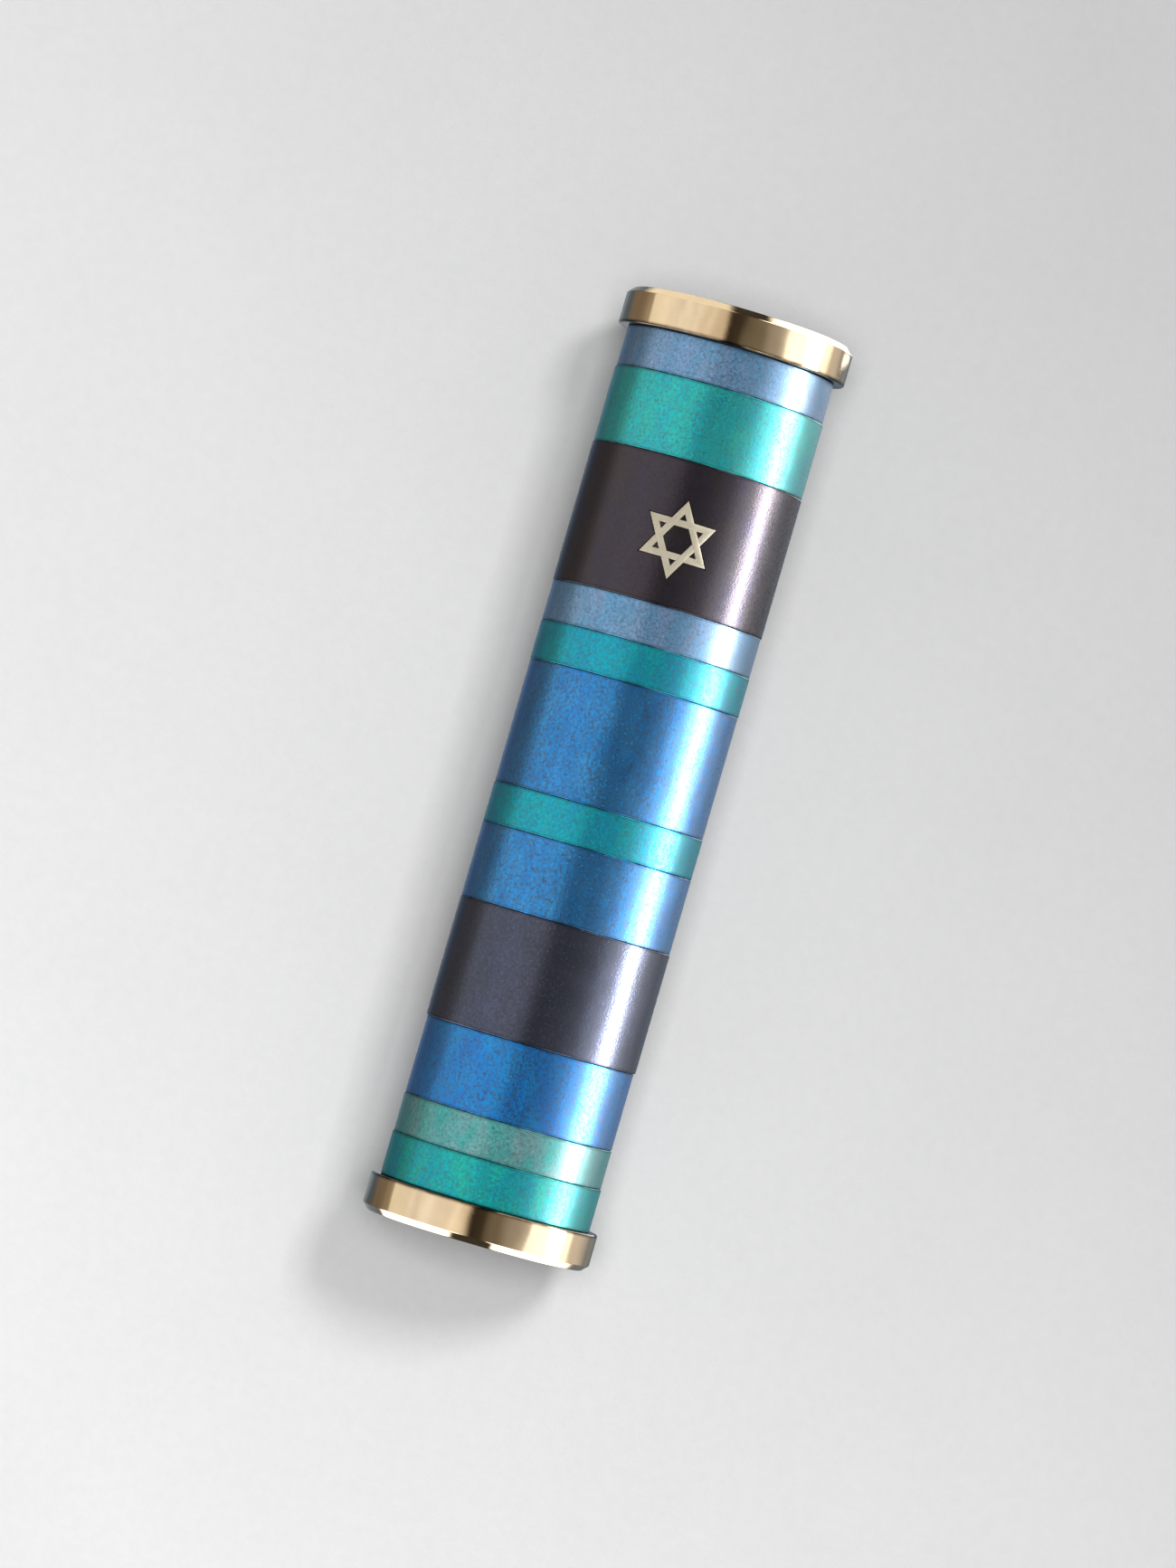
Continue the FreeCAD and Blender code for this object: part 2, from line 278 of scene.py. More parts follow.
def stretched(tree, vector, scale):
    node = tree.nodes.new("ShaderNodeMapping")
    node.inputs["Scale"].default_value = scale
    feed(tree, node.inputs["Vector"], vector)
    return node.outputs["Vector"]


def spread(tree, value, low, high):
    """Takes a noise value from about its middle half to the range low to high."""
    return map_range(tree, value, 0.30, 0.70, low, high)


def new_group(name, inputs, outputs):
    """A shader node group with named inputs, (name, type, value), and outputs, (name, type)."""
    tree = bpy.data.node_groups.new(name, "ShaderNodeTree")
    for socket_name, kind, value in inputs:
        socket = tree.interface.new_socket(socket_name, in_out="INPUT", socket_type=kind)
        socket.default_value = value
    for socket_name, kind in outputs:
        tree.interface.new_socket(socket_name, in_out="OUTPUT", socket_type=kind)
    inside = tree.nodes.new("NodeGroupInput")
    outside = tree.nodes.new("NodeGroupOutput")
    return tree, inside.outputs, outside.inputs


FLOAT, COLOUR = "NodeSocketFloat", "NodeSocketColor"


def object_place(tree):
    return tree.nodes.new("ShaderNodeTexCoord").outputs["Object"]


# The mask of the painted seam shade: how near each vertex is to a seam.
def rim_mask(tree):
    node = tree.nodes.new("ShaderNodeAttribute")
    node.attribute_name = "rim"
    return node.outputs["Fac"]


def make_blasted_dye():
    """Bead-blasted, dyed metal: fine grain, soft clouds in the dye, and painted seam shade, darker
    towards each edge and broken up by noise.
    """
    tree, given, result = new_group(
        "blasted_dye",
        [("Colour", COLOUR, (0.1, 0.3, 0.5, 1)), ("Cloud Colour", COLOUR, (0.1, 0.3, 0.5, 1)),
         ("Cloud Amount", FLOAT, 0.35), ("Grain Size", FLOAT, 0.22), ("Grain", FLOAT, 0.06),
         ("Roughness", FLOAT, 0.32), ("Edge Colour", COLOUR, (0.02, 0.04, 0.06, 1)),
         ("Sealing", FLOAT, 1.0)],
        [("Colour", COLOUR), ("Roughness", FLOAT), ("Height", FLOAT), ("Sealing", FLOAT)],
    )
    place = object_place(tree)
    cloud = noise(tree, stretched(tree, place, (1, 1, 0.45)), 2.2, 3.0, 0.55)
    cloud = math_node(tree, "MULTIPLY", spread(tree, cloud, 0.0, 1.0), given["Cloud Amount"])
    colour = mix_colour(tree, "MIX", cloud, given["Colour"], given["Cloud Colour"])
    fine = noise(tree, place, 0.36, 2.0, 0.55)
    low = math_node(tree, "SUBTRACT", 1.0, given["Grain"])
    high = math_node(tree, "ADD", 1.0, given["Grain"])
    shade = as_grey(tree, spread(tree, fine, low, high))
    colour = mix_colour(tree, "MULTIPLY", 1.0, colour, shade)
    # painted seam shade: the colour darkens towards each ring's edges, broken up by noise
    seam_shade_breakup = noise(tree, place, 1.6, 3.0, 0.7)
    rim = math_node(tree, "MULTIPLY", rim_mask(tree), spread(tree, seam_shade_breakup, 0.45, 1.0), True)
    tree.links.new(mix_colour(tree, "MIX", rim, colour, given["Edge Colour"]), result["Colour"])
    patch = noise(tree, place, 2.2, 3.0, 0.6)
    rough = math_node(tree, "ADD", given["Roughness"], spread(tree, patch, -0.035, 0.035))
    tree.links.new(rough, result["Roughness"])
    tree.links.new(noise(tree, place, given["Grain Size"]), result["Height"])
    # the clear layer also thins where the seam shade is painted, so the seams stay dark
    whole = math_node(tree, "SUBTRACT", 1.0, math_node(tree, "MULTIPLY", rim, 0.8))
    speckled = math_node(tree, "MULTIPLY", whole, spread(tree, fine, 1.3, 0.35))
    tree.links.new(math_node(tree, "MULTIPLY", speckled, given["Sealing"], True),
                   result["Sealing"])
    return tree


def make_hand_polish():
    """Buffed metal: soft waves, hairline scratches, a little tarnish and painted shade along the seam.
    """
    tree, given, result = new_group(
        "hand_polish",
        [("Colour", COLOUR, (0.8, 0.6, 0.35, 1)), ("Tarnish Colour", COLOUR, (0.35, 0.2, 0.1, 1)),
         ("Seam Colour", COLOUR, (0.1, 0.06, 0.03, 1)), ("Roughness", FLOAT, 0.05),
         ("Scratches", FLOAT, 0.05)],
        [("Colour", COLOUR), ("Roughness", FLOAT), ("Height", FLOAT)],
    )
    place = object_place(tree)
    waves = noise(tree, place, 8.0, 1.0, 0.35)
    scratch = noise(tree, stretched(tree, place, (1, 1, 30)), 4.0, 4.0, 0.75)
    smear = noise(tree, place, 3.0, 4.0, 0.65)
    colour = mix_colour(tree, "MIX", spread(tree, smear, 0.0, 0.10), given["Colour"],
                        given["Tarnish Colour"])
    # painted shade along the cap's seam with the rings, made uneven by noise
    rim = math_node(tree, "MULTIPLY", rim_mask(tree), spread(tree, smear, 1.2, 2.0), True)
    tree.links.new(mix_colour(tree, "MIX", rim, colour, given["Seam Colour"]), result["Colour"])
    marks = math_node(tree, "MULTIPLY", spread(tree, scratch, 0.0, 1.0), given["Scratches"])
    tree.links.new(math_node(tree, "ADD", given["Roughness"], marks), result["Roughness"])
    faint = math_node(tree, "MULTIPLY", scratch, 0.012)
    tree.links.new(math_node(tree, "ADD", waves, faint), result["Height"])
    return tree


def make_turning():
    """Fine lathe marks that run round the case's axis, on walls and on end faces alike."""
    tree, given, result = new_group(
        "turning_marks",
        [("Spacing", FLOAT, 0.12), ("Roughness", FLOAT, 0.3), ("Axis Y", FLOAT, AXIS_Y * MM)],
        [("Roughness", FLOAT), ("Height", FLOAT)],
    )
    parts = split(tree, object_place(tree))
    across = math_node(tree, "SUBTRACT", parts["Y"], given["Axis Y"])
    squares = math_node(tree, "ADD", math_node(tree, "MULTIPLY", parts["X"], parts["X"]),
                        math_node(tree, "MULTIPLY", across, across))
    line = tree.nodes.new("ShaderNodeCombineXYZ")
    tree.links.new(math_node(tree, "SQRT", squares), line.inputs["X"])
    tree.links.new(parts["Z"], line.inputs["Y"])
    marks = noise(tree, line.outputs[0], given["Spacing"], 3.0, dimensions="2D")
    tree.links.new(marks, result["Height"])
    rough = math_node(tree, "ADD", given["Roughness"], spread(tree, marks, -0.06, 0.06))
    tree.links.new(rough, result["Roughness"])
    return tree


def make_speckle():
    """Two colours in cloudy patches with fine specks, for matt and fibrous stuff."""
    tree, given, result = new_group(
        "speckle",
        [("Colour", COLOUR, (0.8, 0.8, 0.8, 1)), ("Second Colour", COLOUR, (0.5, 0.5, 0.5, 1)),
         ("Patch Size", FLOAT, 3.0), ("Speck Size", FLOAT, 0.2), ("Specks", FLOAT, 0.3)],
        [("Colour", COLOUR), ("Height", FLOAT)],
    )
    place = object_place(tree)
    patches = noise(tree, place, given["Patch Size"], 4.0, 0.62)
    specks = noise(tree, place, given["Speck Size"], 4.0, 0.62)
    fine = math_node(tree, "MULTIPLY", spread(tree, specks, 0.0, 1.0), given["Specks"])
    coarse = math_node(tree, "MULTIPLY", spread(tree, patches, 0.0, 1.0), 0.5)
    mask = math_node(tree, "ADD", coarse, fine, True)
    tree.links.new(mix_colour(tree, "MIX", mask, given["Colour"], given["Second Colour"]),
                   result["Colour"])
    tree.links.new(specks, result["Height"])
    return tree


GROUPS = {
    "dye": make_blasted_dye(),
    "polish": make_hand_polish(),
    "turning": make_turning(),
    "speckle": make_speckle(),
}


# --- Materials ------------------------------------------------------------------------------

def new_material(name):
    material = bpy.data.materials.new(name)
    material.use_nodes = True
    tree = material.node_tree
    return material, tree, tree.nodes["Principled BSDF"]


def use_group(tree, group, **values):
    node = tree.nodes.new("ShaderNodeGroup")
    node.node_tree = GROUPS[group]
    for name, value in values.items():
        feed(tree, node.inputs[name.replace("_", " ")], value)
    return node.outputs


def bump(tree, shader, height, depth_mm):
    node = tree.nodes.new("ShaderNodeBump")
    node.inputs["Strength"].default_value = 1.0
    node.inputs["Distance"].default_value = depth_mm * MM
    tree.links.new(height, node.inputs["Height"])
    tree.links.new(node.outputs["Normal"], shader.inputs["Normal"])


def anodised(name, colour, cloud, metal, coat=1.0, grain=0.40):
    """Dyed, sealed aluminium: coloured metal seen through its dye, under a clear layer."""
    material, tree, shader = new_material(name)
    # painted seam shade: the rings' edges darken to a tenth of the dye colour
    edge = tuple(channel * 0.10 for channel in colour)
    dye = use_group(tree, "dye", Colour=colour, Cloud_Colour=cloud, Cloud_Amount=0.7,
                    Grain_Size=0.30, Grain=grain, Roughness=0.22, Edge_Colour=edge,
                    Sealing=coat)
    shader.inputs["Metallic"].default_value = metal
    shader.inputs["Specular IOR Level"].default_value = 0.0
    shader.inputs["Coat Roughness"].default_value = 0.37
    shader.inputs["Coat IOR"].default_value = 1.7
    tree.links.new(dye["Colour"], shader.inputs["Base Color"])
    tree.links.new(dye["Roughness"], shader.inputs["Roughness"])
    tree.links.new(dye["Sealing"], shader.inputs["Coat Weight"])
    bump(tree, shader, dye["Height"], 0.022)
    return material


def polished_gold():
    material, tree, shader = new_material("polished_gold")
    # The seam colour below is painted shade where the cap meets the rings.
    polish = use_group(tree, "polish", Colour=(0.87, 0.70, 0.47),
                       Tarnish_Colour=(0.30, 0.18, 0.09), Seam_Colour=(0.07, 0.045, 0.025),
                       Roughness=0.03, Scratches=0.05)
    shader.inputs["Metallic"].default_value = 1.0
    tree.links.new(polish["Colour"], shader.inputs["Base Color"])
    tree.links.new(polish["Roughness"], shader.inputs["Roughness"])
    bump(tree, shader, polish["Height"], 0.38)
    return material


def warm_silver():
    """The emblem's plate: pale, matt, warm silver."""
    material, tree, shader = new_material("warm_silver")
    speckle = use_group(tree, "speckle", Colour=(0.59, 0.54, 0.42),
                        Second_Colour=(0.42, 0.37, 0.27), Patch_Size=1.5, Speck_Size=0.15,
                        Specks=0.35)
    shader.inputs["Metallic"].default_value = 0.35
    shader.inputs["Roughness"].default_value = 0.48
    tree.links.new(speckle["Colour"], shader.inputs["Base Color"])
    bump(tree, shader, speckle["Height"], 0.01)
    return material


def turned_aluminium():
    material, tree, shader = new_material("turned_aluminium")
    turning = use_group(tree, "turning", Spacing=0.16, Roughness=0.30)
    speckle = use_group(tree, "speckle", Colour=(0.74, 0.75, 0.77),
                        Second_Colour=(0.55, 0.56, 0.58), Patch_Size=6.0, Speck_Size=0.4,
                        Specks=0.2)
    shader.inputs["Metallic"].default_value = 1.0
    tree.links.new(speckle["Colour"], shader.inputs["Base Color"])
    tree.links.new(turning["Roughness"], shader.inputs["Roughness"])
    bump(tree, shader, turning["Height"], 0.01)
    return material


def matt_stuff(name, colour, second, roughness, patch, speck, specks, depth, sheen=0.0):
    material, tree, shader = new_material(name)
    speckle = use_group(tree, "speckle", Colour=colour, Second_Colour=second, Patch_Size=patch,
                        Speck_Size=speck, Specks=specks)
    shader.inputs["Roughness"].default_value = roughness
    shader.inputs["Sheen Weight"].default_value = sheen
    tree.links.new(speckle["Colour"], shader.inputs["Base Color"])
    bump(tree, shader, speckle["Height"], depth)
    return material


def parchment():
    """Scraped skin: warm, cloudy, with scored guide lines round the roll."""
    material, tree, shader = new_material("parchment")
    speckle = use_group(tree, "speckle", Colour=(0.78, 0.66, 0.44),
                        Second_Colour=(0.60, 0.45, 0.26), Patch_Size=7.0, Speck_Size=0.5,
                        Specks=0.30)
    line_pitch = 3.6 * MM
    height = split(tree, object_place(tree))["Z"]
    place = math_node(tree, "FRACT", math_node(tree, "DIVIDE", height, line_pitch))
    apart = math_node(tree, "ABSOLUTE", math_node(tree, "SUBTRACT", place, 0.5))
    scored = math_node(tree, "LESS_THAN", apart, 0.025)
    shade = mix_colour(tree, "MIX", math_node(tree, "MULTIPLY", scored, 0.35),
                       speckle["Colour"], (0.42, 0.30, 0.17))
    tree.links.new(shade, shader.inputs["Base Color"])
    shader.inputs["Roughness"].default_value = 0.62
    shader.inputs["Subsurface Weight"].default_value = 0.10
    shader.inputs["Subsurface Scale"].default_value = 0.5 * MM
    dents = math_node(tree, "SUBTRACT", speckle["Height"], math_node(tree, "MULTIPLY", scored, 0.6))
    bump(tree, shader, dents, 0.03)
    return material


def pale_paper():
    """The surface under the case, with painted light: brighter towards -X and -Z, darker towards +X and
    +Z. Seen from behind it is clear, so the case's back shows.
    """
    material, tree, shader = new_material("pale_paper")
    place = object_place(tree)
    cloud = noise(tree, place, 60.0, 4.0, 0.6)
    fibre = noise(tree, place, 1.6, 3.0, 0.7)
    mask = math_node(tree, "ADD", math_node(tree, "MULTIPLY", spread(tree, cloud, 0, 1), 0.55),
                     math_node(tree, "MULTIPLY", spread(tree, fibre, 0, 1), 0.45))
    parts = split(tree, place)
    # painted light falloff across the paper: brighter towards -X and -Z
    aslant = math_node(tree, "ADD", math_node(tree, "MULTIPLY", parts["X"], 0.95), parts["Z"])
    painted_light_falloff = as_grey(tree, map_range(tree, aslant, -0.14, 0.14, 1.22, 0.78))
    shade = mix_colour(tree, "MIX", mask, (0.74, 0.74, 0.74), (0.69, 0.69, 0.692))
    tree.links.new(mix_colour(tree, "MULTIPLY", 1.0, shade, painted_light_falloff), shader.inputs["Base Color"])
    shader.inputs["Roughness"].default_value = 0.9
    shader.inputs["Specular IOR Level"].default_value = 0.2
    bump(tree, shader, fibre, 0.06)
    clear = tree.nodes.new("ShaderNodeBsdfTransparent")
    side = tree.nodes.new("ShaderNodeNewGeometry")
    mixer = tree.nodes.new("ShaderNodeMixShader")
    tree.links.new(side.outputs["Backfacing"], mixer.inputs["Fac"])
    tree.links.new(shader.outputs[0], mixer.inputs[1])
    tree.links.new(clear.outputs[0], mixer.inputs[2])
    output = next(n for n in tree.nodes if n.type == "OUTPUT_MATERIAL")
    tree.links.new(mixer.outputs[0], output.inputs["Surface"])
    return material


DYES = {
    # colour, cloud colour, how metallic, and what else differs
    "anodised_sky_blue": ((0.09, 0.28, 0.48), (0.22, 0.31, 0.51), 0.58, {}),
    "anodised_teal": ((0.0, 0.38, 0.46), (0.02, 0.50, 0.40), 0.66, {}),
    "anodised_charcoal": ((0.052, 0.041, 0.048), (0.040, 0.036, 0.068), 0.85, {"coat": 0.4}),
    "anodised_turquoise": ((0.0, 0.30, 0.48), (0.0, 0.42, 0.42), 0.62, {"coat": 0.7}),
    "anodised_cobalt": ((0.0, 0.17, 0.50), (0.03, 0.27, 0.60), 0.80, {"grain": 0.60}),
    "anodised_slate": ((0.060, 0.072, 0.108), (0.078, 0.085, 0.146), 0.85, {"coat": 0.4}),
    "anodised_royal_blue": ((0.0, 0.15, 0.50), (0.0, 0.25, 0.60), 0.66, {"grain": 0.60}),
    "anodised_pale_aqua": ((0.02, 0.35, 0.33), (0.24, 0.33, 0.38), 0.45, {}),
    "anodised_sea_green": ((0.0, 0.32, 0.41), (0.01, 0.46, 0.32), 0.45, {"coat": 0.7}),
}
ANODISED = {
    name: anodised(name, colour, cloud, metal, **finish)
    for name, (colour, cloud, metal, finish) in DYES.items()
}
GOLD = polished_gold()
SILVER = warm_silver()
ALUMINIUM = turned_aluminium()
RUBBER = matt_stuff("black_rubber", (0.020, 0.020, 0.022), (0.040, 0.040, 0.042),
                    roughness=0.55, patch=2.0, speck=0.15, specks=0.3, depth=0.01, sheen=0.1)
FOAM = matt_stuff("foam", (0.72, 0.72, 0.70), (0.52, 0.52, 0.50),
                  roughness=0.92, patch=1.0, speck=0.12, specks=0.6, depth=0.06)
LINER = matt_stuff("waxed_liner", (0.80, 0.76, 0.64), (0.58, 0.52, 0.38),
                   roughness=0.42, patch=5.0, speck=0.35, specks=0.5, depth=0.03)
PARCHMENT = parchment()
PAPER = pale_paper()


# --- Mesh helpers, in millimetres about the case's axis ----------------------------------------

def rounded_section(corners, closed):
    """The points of a section whose corners (radius, height, rounding) go anticlockwise.

    Each point carries the outward normal of the stretch before it and of the one after it.
    """
    count = len(corners)
    points = []
    for i, (r, z, rounding) in enumerate(corners):
        here = Vector((r, z))
        if not closed and i in (0, count - 1):
            other = Vector(corners[1][:2]) if i == 0 else Vector(corners[count - 2][:2])
            along = (other - here if i == 0 else here - other).normalized()
            normal = Vector((along.y, -along.x))
            points.append((here, normal, normal))
            continue
        coming = (here - Vector(corners[i - 1][:2])).normalized()
        going = (Vector(corners[(i + 1) % count][:2]) - here).normalized()
        before, after = Vector((coming.y, -coming.x)), Vector((going.y, -going.x))
        if rounding <= 0:
            points.append((here, before, after))
            continue
        turn = coming.angle_signed(going)
        reach = rounding * math.tan(abs(turn) / 2)
        start = here - coming * reach
        inward = 1 if turn < 0 else -1  # angle_signed is clockwise
        centre = start - before * rounding * inward
        for step in range(ROUND_STEPS + 1):
            angle = -turn * step / ROUND_STEPS
            normal = Vector((before.x * math.cos(angle) - before.y * math.sin(angle),
                             before.x * math.sin(angle) + before.y * math.cos(angle)))
            points.append((centre + normal * rounding * inward, normal, normal))
    return points


def circle_row(radius, height, corner_angle, flat):
    """Points round a turned piece at one height, along the flat where the radius reaches it.

    Known fault: where the radius doesn't reach the flat, the flat's columns run from -X to +X
    instead of from +X to -X, so they fold back over the wall.
    """
    reaches = flat is not None and radius > flat
    if reaches:
        corner_angle = math.acos(flat / radius)
    row = []
    for i in range(ARC_STEPS + 1):
        angle = math.pi / 2 + corner_angle + (2 * math.pi - 2 * corner_angle) * i / ARC_STEPS
        row.append(((radius * math.cos(angle), radius * math.sin(angle), height),
                    (math.cos(angle), math.sin(angle))))
    for i in range(1, FLAT_STEPS):
        if reaches:
            x = radius * math.sin(corner_angle) * (1 - 2 * i / FLAT_STEPS)
            row.append(((x, flat, height), (0.0, 1.0)))
        else:
            angle = math.pi / 2 + corner_angle * (1 - 2 * i / FLAT_STEPS)
            row.append(((radius * math.cos(angle), radius * math.sin(angle), height),
                        (math.cos(angle), math.sin(angle))))
    return row, reaches


def turned_mesh(name, corners, closed, flat=None, rims=()):
    """Turns a section about the axis, cut by the flat, with normals that follow the section.

    rims are heights (height, reach) near which the vertices are marked as the piece's edges, where
    painted seam shade goes.
    """
    section = rounded_section(corners, closed)
    widest = max(point.x for point, before, after in section)
    corner_angle = math.acos(flat / widest) if flat is not None and widest > flat else ROUND_SHARE
    rows = [circle_row(max(point.x, 0.0), point.y, corner_angle, flat)
            for point, before, after in section]
    vertices, index = [], []
    for (points, reaches), (point, before, after) in zip(rows, section):
        if point.x < 1e-6:
            index.append([len(vertices)] * len(points))
            vertices.append((0, 0, point.y))
        else:
            index.append(list(range(len(vertices), len(vertices) + len(points))))
            vertices.extend(place for place, outward in points)
    faces, normals = [], []
    around = ARC_STEPS + FLAT_STEPS
    last = len(section) if closed else len(section) - 1
    for j in range(last):
        k = (j + 1) % len(section)
        on_flat = rows[j][1] and rows[k][1]
        for i in range(around):
            n = (i + 1) % around
            corners_here = [(j, i, 2), (j, n, 2), (k, n, 1), (k, i, 1)]
            face, face_normals = [], []
            for row, column, which in corners_here:
                vertex = index[row][column]
                if vertex in face:
                    continue
                face.append(vertex)
                across, up = section[row][which]
                x, y = rows[row][0][column][1]
                if i >= ARC_STEPS and on_flat:
                    x, y, across, up = 0.0, 1.0, 1.0, 0.0
                elif rows[row][1] and column in (0, ARC_STEPS) and i < ARC_STEPS:
                    angle = math.pi / 2 + math.acos(flat / section[row][0].x) * (
                        1 if column == 0 else -1)
                    x, y = math.cos(angle), math.sin(angle)
                face_normals.append((across * x, across * y, up))
            faces.append(face)
            normals.extend(face_normals)
    mesh = new_mesh(name, vertices, faces)
    smooth(mesh)
    mesh.normals_split_custom_set(normals)
    mesh.update()
    mark_rims(mesh, rims)
    return mesh


def new_mesh(name, vertices, faces):
    mesh = bpy.data.meshes.new(name)
    mesh.from_pydata(vertices, [], faces)
    return mesh


def smooth(mesh):
    mesh.polygons.foreach_set("use_smooth", [True] * len(mesh.polygons))


def face_outwards(mesh):
    work = bmesh.new()
    work.from_mesh(mesh)
    bmesh.ops.recalc_face_normals(work, faces=work.faces)
    work.to_mesh(mesh)
    work.free()


def creased_mesh(name, vertices, faces, crease):
    """A closed, smooth mesh whose edges are sharp where they turn by more than crease degrees."""
    mesh = new_mesh(name, vertices, faces)
    face_outwards(mesh)
    smooth(mesh)
    mesh.set_sharp_from_angle(angle=math.radians(crease))
    return mesh


def mark_rims(mesh, rims):
    """Writes how near each vertex is to one of the heights in rims, from 0 to 1, which places the
    painted seam shade.
    """
    attribute = mesh.attributes.new("rim", "FLOAT", "POINT")
    values = []
    for vertex in mesh.vertices:
        nearness = [1 - abs(vertex.co.z - height) / reach for height, reach in rims]
        values.append(max([0.0] + nearness))
    attribute.data.foreach_set("value", values)


def add_piece(name, mesh, material, body, slot, *nodes):
    """Puts a mesh that was drawn in millimetres about the axis into the frame."""
    mesh.transform(Matrix.Translation((0, AXIS_Y * MM, 0)) @ Matrix.Diagonal((MM, MM, MM, 1)))
    mesh.materials.append(material)
    piece = bpy.data.objects.new(name, mesh)
    bpy.context.scene.collection.objects.link(piece)
    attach(piece, body)
    if nodes:
        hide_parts(*nodes)


# --- The pieces -----------------------------------------------------------------------------

def ring_section(low, high, radius):
    bore = TUBE_RADIUS + 0.04
    edge = 0.16
    inner_edge = 0.10
    hold = 0.42  # a row near each edge keeps the painted seam shade close to the edge
    return [
        (bore, low, inner_edge), (radius, low, edge), (radius, low + hold, 0),
        (radius, high - hold, 0), (radius, high, edge), (bore, high, inner_edge),
    ]


def build_rings():
    # how far the painted seam shade reaches from each ring's ends, in millimetres
    seam_shade_reach = 0.32
    for node, slot in RINGS.items():
        low, high = (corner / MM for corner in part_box(node))
        rims = [(low.z, seam_shade_reach), (high.z, seam_shade_reach)]
        mesh = turned_mesh(node + "_anodised", ring_section(low.z, high.z, high.x), True,
                           FLAT, rims)
        if node == EMBLEM_RING:
            mesh = let_in_star(mesh)
            mark_rims(mesh, rims)
        add_piece(node + "_anodised", mesh, ANODISED[slot], "case", slot, node)


def cap_section():
    """Half section of the top cap, anticlockwise from the hollow's end wall to the end face."""
    spigot = O_RING_HIGH.x
    hollow = 7.6
    end_wall = 1.6
    groove_depth, groove_slack = 0.93, 0.03
    groove_low, groove_high = O_RING_LOW.z - groove_slack, O_RING_HIGH.z + groove_slack
    bevel = 0.8
    bevel_row = 0.2  # from the bevel to the rows of vertices on either side of it
    seam_row = 0.5  # from the seam to the first row, which is clear of the painted shade along the seam
    return [
        (0, CAP_END - end_wall, 0), (hollow, CAP_END - end_wall, 0.5),
        (hollow, SPIGOT_END, 0.15), (spigot, SPIGOT_END, 0.4),
        (spigot, groove_low, 0.08), (spigot - groove_depth, groove_low, 0.05),
        (spigot - groove_depth, groove_high, 0.05), (spigot, groove_high, 0.08),
        (spigot, HALF_STACK, 0.1), (CAP_RADIUS, HALF_STACK, 0.28),
        (CAP_RADIUS, HALF_STACK + seam_row, 0), (CAP_RADIUS, CAP_END - bevel - bevel_row, 0),
        (CAP_RADIUS, CAP_END - bevel, 0.12), (CAP_RADIUS - bevel, CAP_END, 0.25),
        (CAP_RADIUS - bevel - bevel_row, CAP_END, 0), (0, CAP_END, 0),
    ]


def build_caps():
    section = cap_section()
    # how far the painted seam shade reaches up the cap, in millimetres
    seam_reach = 0.42
    rims = [(HALF_STACK, seam_reach)]
    top = turned_mesh("top_cap_polished", section, False, FLAT, rims)
    bottom = turned_mesh("bottom_cap_polished", section, False, FLAT, rims)
    bottom.transform(Matrix.Rotation(math.pi, 4, "Y"))
    add_piece("top_cap_polished", top, GOLD, "cap", "polished_gold", "top_cap")
    add_piece("bottom_cap_polished", bottom, GOLD, "case", "polished_gold", "bottom_cap")


def build_tube():
    bore = 9.3
    edge = 0.18
    section = [
        (bore, -HALF_STACK, edge), (TUBE_RADIUS, -HALF_STACK, edge),
        (TUBE_RADIUS, HALF_STACK, edge), (bore, HALF_STACK, edge),
    ]
    mesh = turned_mesh("core_tube_turned", section, True)
    add_piece("core_tube_turned", mesh, ALUMINIUM, "case", "plain_aluminium", "core_tube")


def build_o_rings():
    cord = (O_RING_HIGH.z - O_RING_LOW.z) / 2
    centre = O_RING_HIGH.x - cord
    height = (O_RING_HIGH.z + O_RING_LOW.z) / 2
    for name, side, body in (("top_o_ring", 1, "cap"), ("bottom_o_ring", -1, "case")):
        square = [
            (centre - cord, side * height - cord, cord), (centre + cord, side * height - cord, cord),
            (centre + cord, side * height + cord, cord), (centre - cord, side * height + cord, cord),
        ]
        mesh = turned_mesh(name + "_moulded", square, True)
        add_piece(name + "_moulded", mesh, RUBBER, body, "black_rubber", name)


# The star: two outlined triangles woven over and under each other
STAR_LOW, STAR_HIGH = (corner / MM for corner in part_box("emblem_star"))
STAR_STROKE = 0.85
STAR_RADIUS = (STAR_HIGH.z - STAR_LOW.z) / 2
STAR_HEIGHT = (STAR_HIGH.z + STAR_LOW.z) / 2
STAR_GAP = 0.15
STAR_SET_IN = 0.35
STAR_PROUD = 0.22
EMBLEM_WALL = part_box(EMBLEM_RING)[1].x / MM  # outer radius of the ring that carries the star
WEAVE_HEIGHT = 0.075
WEAVE_SPAN = 0.085  # as a share of a triangle's side


def triangle_stations():
    """Stations along one triangle's middle line: place, outward offset, and share of the side."""
    middle_radius = STAR_RADIUS - STAR_STROKE
    first, run, steps = 0.18, 0.64, 26
    corners = [Vector((math.cos(a), math.sin(a))) * middle_radius
               for a in (math.radians(90 + 120 * k) for k in range(3))]
    stations = []
    for k in range(3):
        start, end = corners[k], corners[(k + 1) % 3]
        stations.append((start, start.normalized() * 2, 0.0))
        outward = ((start + end) / 2).normalized()
        for i in range(steps + 1):
            share = first + run * i / steps
            stations.append((start.lerp(end, share), outward, share))
    return stations


def weave_height(share):
    """A bar rises over the first bar that it meets and dips under the second."""
    rise = math.exp(-((share - 1 / 3) / WEAVE_SPAN) ** 2)
    dip = math.exp(-((share - 2 / 3) / WEAVE_SPAN) ** 2)
    return WEAVE_HEIGHT * (rise - dip)


